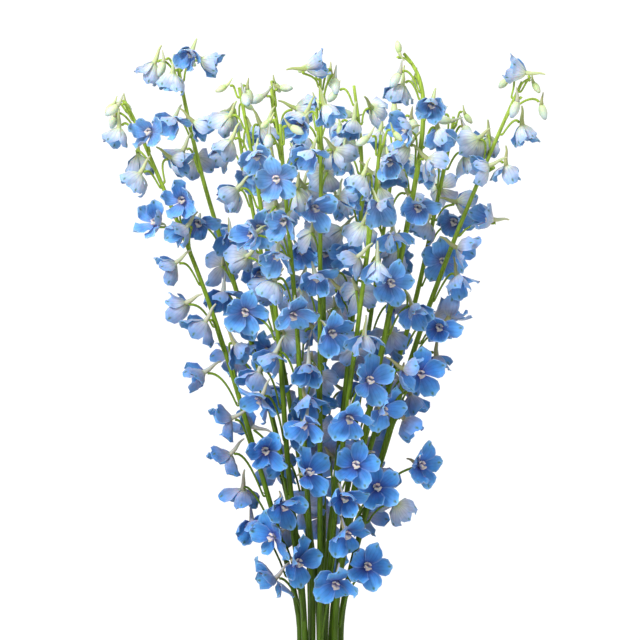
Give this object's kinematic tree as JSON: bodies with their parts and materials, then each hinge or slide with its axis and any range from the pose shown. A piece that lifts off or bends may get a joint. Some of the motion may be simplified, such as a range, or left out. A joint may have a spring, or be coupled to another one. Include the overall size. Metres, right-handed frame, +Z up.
{
  "type": "potted delphinium",
  "caption": "Potted delphinium: tall spikes of spurred sky-blue florets, with nodding pale buds at their tips, standing in peat in a plain tapered clay pot.",
  "frame": {"origin": "centre of the pot's foot, on the surface that it stands on", "axes": "+Z up the plant; the view of the picture looks along +Y with +X to the right"},
  "size_m": [0.4439, 0.2855, 0.8204],
  "materials": {
    "terracotta": "matte",
    "peat": "matte",
    "sepal_blue": "matte",
    "stem_green": "satin",
    "bud_pale": "matte",
    "bee_white": "matte"
  },
  "bodies": {
    "root": {"pot": "terracotta", "soil": "peat", "flower_spike_01": "sepal_blue", "flower_spike_02": "sepal_blue", "flower_spike_03": "sepal_blue", "flower_spike_04": "sepal_blue", "flower_spike_05": "sepal_blue", "flower_spike_06": "sepal_blue", "flower_spike_07": "sepal_blue", "flower_spike_08": "sepal_blue", "flower_spike_09": "sepal_blue", "flower_spike_10": "sepal_blue", "flower_spike_11": "sepal_blue", "flower_spike_12": "sepal_blue", "flower_spike_13": "sepal_blue", "flower_spike_14": "sepal_blue"}
  },
  "joints": []
}
